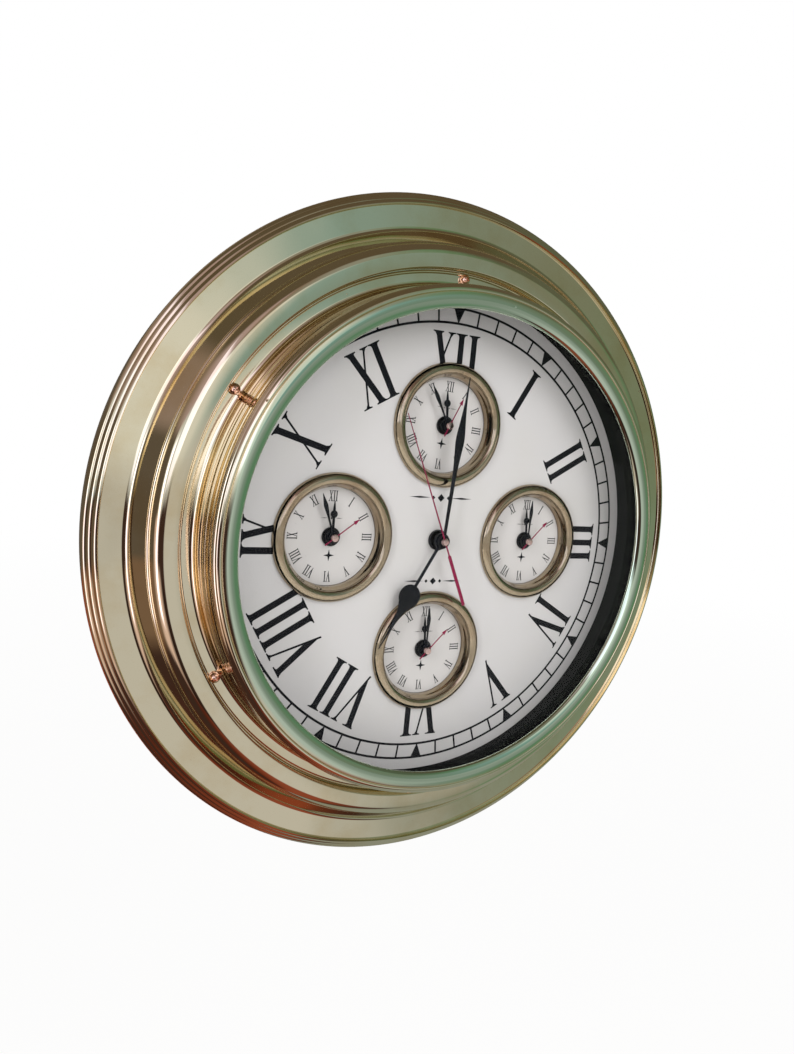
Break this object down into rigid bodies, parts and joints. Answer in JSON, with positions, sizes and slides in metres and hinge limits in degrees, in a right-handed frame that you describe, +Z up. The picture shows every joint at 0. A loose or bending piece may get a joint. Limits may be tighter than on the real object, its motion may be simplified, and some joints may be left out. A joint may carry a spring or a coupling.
{
  "type": "world time wall clock",
  "caption": "Round brass wall clock with a pale dial and small clocks let into it, each with its own movement and hands, under a flat glass in a deep rolled bezel.",
  "frame": {"origin": "centre of the back cover's outer face, which lies against the wall", "axes": "+Z up to XII, +X to III as seen from the front, +Y into the wall; the dial faces -Y"},
  "size_m": [0.3678, 0.0575, 0.3678],
  "materials": {
    "brass": "spun, polished and lacquered",
    "screw_brass": "turned and polished",
    "glass": "clear float glass",
    "sleeve_paint": "matt black paint",
    "dial_paint": "satin paint with printed marks",
    "small_dial_paint": "satin paint with printed marks",
    "cover_steel": "powder coat on steel sheet",
    "nut_steel": "nickel plate, lightly brushed",
    "movement_plastic": "moulded, fine texture",
    "wheel_plastic": "moulded acetal",
    "arbor_steel": "turned steel",
    "coil": "enamelled copper wire on a soft iron stator",
    "cell_jacket": "plain printed jacket",
    "hand_lacquer": "gloss blue-black lacquer",
    "crimson_lacquer": "gloss crimson lacquer"
  },
  "bodies": {
    "case": {"wall_flange": "brass", "bezel_ring": "brass", "bezel_screw_1": "screw_brass", "bezel_screw_2": "screw_brass", "bezel_screw_3": "screw_brass", "bezel_screw_4": "screw_brass", "bezel_screw_5": "screw_brass", "bezel_screw_6": "screw_brass", "main_glass": "glass", "inner_sleeve": "sleeve_paint", "main_dial": "dial_paint", "back_cover": "cover_steel", "movement_case": "movement_plastic", "movement_cover": "movement_plastic", "main_cell": "cell_jacket", "stator_coil": "coil", "main_bush_nut": "nut_steel", "top_bezel": "brass", "top_dial": "small_dial_paint", "top_movement": "movement_plastic", "top_bush_nut": "nut_steel", "right_bezel": "brass", "right_dial": "small_dial_paint", "right_movement": "movement_plastic", "right_bush_nut": "nut_steel", "bottom_bezel": "brass", "bottom_dial": "small_dial_paint", "bottom_movement": "movement_plastic", "bottom_bush_nut": "nut_steel", "left_bezel": "brass", "left_dial": "small_dial_paint", "left_movement": "movement_plastic", "left_bush_nut": "nut_steel"},
    "main_hour": {"main_hour_hand": "hand_lacquer", "hour_wheel": "wheel_plastic"},
    "main_minute": {"main_minute_hand": "hand_lacquer", "minute_pipe": "arbor_steel"},
    "main_second": {"main_second_hand": "crimson_lacquer", "second_wheel": "arbor_steel"},
    "setting": {"setting_wheel": "wheel_plastic"},
    "centre": {"centre_wheel": "wheel_plastic"},
    "third": {"third_wheel": "wheel_plastic"},
    "step": {"step_wheel": "wheel_plastic"},
    "rotor": {"rotor": "arbor_steel"},
    "top_hour": {"top_hour_hand": "hand_lacquer"},
    "top_minute": {"top_minute_hand": "hand_lacquer"},
    "top_second": {"top_second_hand": "crimson_lacquer"},
    "top_knob": {"top_set_knob": "movement_plastic"},
    "right_hour": {"right_hour_hand": "hand_lacquer"},
    "right_minute": {"right_minute_hand": "hand_lacquer"},
    "right_second": {"right_second_hand": "crimson_lacquer"},
    "right_knob": {"right_set_knob": "movement_plastic"},
    "bottom_hour": {"bottom_hour_hand": "hand_lacquer"},
    "bottom_minute": {"bottom_minute_hand": "hand_lacquer"},
    "bottom_second": {"bottom_second_hand": "crimson_lacquer"},
    "bottom_knob": {"bottom_set_knob": "movement_plastic"},
    "left_hour": {"left_hour_hand": "hand_lacquer"},
    "left_minute": {"left_minute_hand": "hand_lacquer"},
    "left_second": {"left_second_hand": "crimson_lacquer"},
    "left_knob": {"left_set_knob": "movement_plastic"}
  },
  "joints": [
    {"name": "main_minute_turn", "type": "hinge", "parent": "case", "child": "main_minute", "pos_m": [0, -0.03, 0], "axis": [0, 1, 0], "continuous": true},
    {"name": "main_hour_turn", "type": "hinge", "parent": "case", "child": "main_hour", "pos_m": [0, -0.03, 0], "axis": [0, 1, 0], "continuous": true},
    {"name": "setting_turn", "type": "hinge", "parent": "case", "child": "setting", "pos_m": [-0.00866, -0.01, 0.005], "axis": [0, 1, 0], "continuous": true},
    {"name": "main_second_turn", "type": "hinge", "parent": "case", "child": "main_second", "pos_m": [0, -0.03, 0], "axis": [0, 1, 0], "continuous": true},
    {"name": "centre_turn", "type": "hinge", "parent": "case", "child": "centre", "pos_m": [0, -0.018, 0], "axis": [0, 1, 0], "continuous": true},
    {"name": "third_turn", "type": "hinge", "parent": "case", "child": "third", "pos_m": [0.00779, -0.018, 0.0045], "axis": [0, 1, 0], "continuous": true},
    {"name": "step_turn", "type": "hinge", "parent": "case", "child": "step", "pos_m": [0, -0.018, 0.0096], "axis": [0, 1, 0], "continuous": true},
    {"name": "rotor_turn", "type": "hinge", "parent": "case", "child": "rotor", "pos_m": [0, -0.018, 0.0166], "axis": [0, 1, 0], "continuous": true},
    {"name": "top_minute_turn", "type": "hinge", "parent": "case", "child": "top_minute", "pos_m": [0, -0.026, 0.0626], "axis": [0, 1, 0], "continuous": true},
    {"name": "top_hour_turn", "type": "hinge", "parent": "case", "child": "top_hour", "pos_m": [0, -0.026, 0.0626], "axis": [0, 1, 0], "continuous": true},
    {"name": "top_knob_turn", "type": "hinge", "parent": "case", "child": "top_knob", "pos_m": [-0.00866, -0.005, 0.0676], "axis": [0, 1, 0], "continuous": true},
    {"name": "top_second_turn", "type": "hinge", "parent": "case", "child": "top_second", "pos_m": [0, -0.026, 0.0626], "axis": [0, 1, 0], "continuous": true},
    {"name": "right_minute_turn", "type": "hinge", "parent": "case", "child": "right_minute", "pos_m": [0.0626, -0.026, 0], "axis": [0, 1, 0], "continuous": true},
    {"name": "right_hour_turn", "type": "hinge", "parent": "case", "child": "right_hour", "pos_m": [0.0626, -0.026, 0], "axis": [0, 1, 0], "continuous": true},
    {"name": "right_knob_turn", "type": "hinge", "parent": "case", "child": "right_knob", "pos_m": [0.05394, -0.005, 0.005], "axis": [0, 1, 0], "continuous": true},
    {"name": "right_second_turn", "type": "hinge", "parent": "case", "child": "right_second", "pos_m": [0.0626, -0.026, 0], "axis": [0, 1, 0], "continuous": true},
    {"name": "bottom_minute_turn", "type": "hinge", "parent": "case", "child": "bottom_minute", "pos_m": [0, -0.026, -0.0626], "axis": [0, 1, 0], "continuous": true},
    {"name": "bottom_hour_turn", "type": "hinge", "parent": "case", "child": "bottom_hour", "pos_m": [0, -0.026, -0.0626], "axis": [0, 1, 0], "continuous": true},
    {"name": "bottom_knob_turn", "type": "hinge", "parent": "case", "child": "bottom_knob", "pos_m": [-0.00866, -0.005, -0.0576], "axis": [0, 1, 0], "continuous": true},
    {"name": "bottom_second_turn", "type": "hinge", "parent": "case", "child": "bottom_second", "pos_m": [0, -0.026, -0.0626], "axis": [0, 1, 0], "continuous": true},
    {"name": "left_minute_turn", "type": "hinge", "parent": "case", "child": "left_minute", "pos_m": [-0.0626, -0.026, 0], "axis": [0, 1, 0], "continuous": true},
    {"name": "left_hour_turn", "type": "hinge", "parent": "case", "child": "left_hour", "pos_m": [-0.0626, -0.026, 0], "axis": [0, 1, 0], "continuous": true},
    {"name": "left_knob_turn", "type": "hinge", "parent": "case", "child": "left_knob", "pos_m": [-0.07126, -0.005, 0.005], "axis": [0, 1, 0], "continuous": true},
    {"name": "left_second_turn", "type": "hinge", "parent": "case", "child": "left_second", "pos_m": [-0.0626, -0.026, 0], "axis": [0, 1, 0], "continuous": true}
  ],
  "couplings": [
    {"joint": "main_hour_turn", "follows": "main_minute_turn", "ratio": 0.083333},
    {"joint": "setting_turn", "follows": "main_minute_turn", "ratio": -0.33333},
    {"joint": "centre_turn", "follows": "main_second_turn", "ratio": 0.016667},
    {"joint": "third_turn", "follows": "main_second_turn", "ratio": -0.13333},
    {"joint": "step_turn", "follows": "main_second_turn", "ratio": -5},
    {"joint": "rotor_turn", "follows": "main_second_turn", "ratio": 30},
    {"joint": "top_hour_turn", "follows": "top_minute_turn", "ratio": 0.083333},
    {"joint": "top_knob_turn", "follows": "top_minute_turn", "ratio": -0.33333},
    {"joint": "right_hour_turn", "follows": "right_minute_turn", "ratio": 0.083333},
    {"joint": "right_knob_turn", "follows": "right_minute_turn", "ratio": -0.33333},
    {"joint": "bottom_hour_turn", "follows": "bottom_minute_turn", "ratio": 0.083333},
    {"joint": "bottom_knob_turn", "follows": "bottom_minute_turn", "ratio": -0.33333},
    {"joint": "left_hour_turn", "follows": "left_minute_turn", "ratio": 0.083333},
    {"joint": "left_knob_turn", "follows": "left_minute_turn", "ratio": -0.33333}
  ]
}
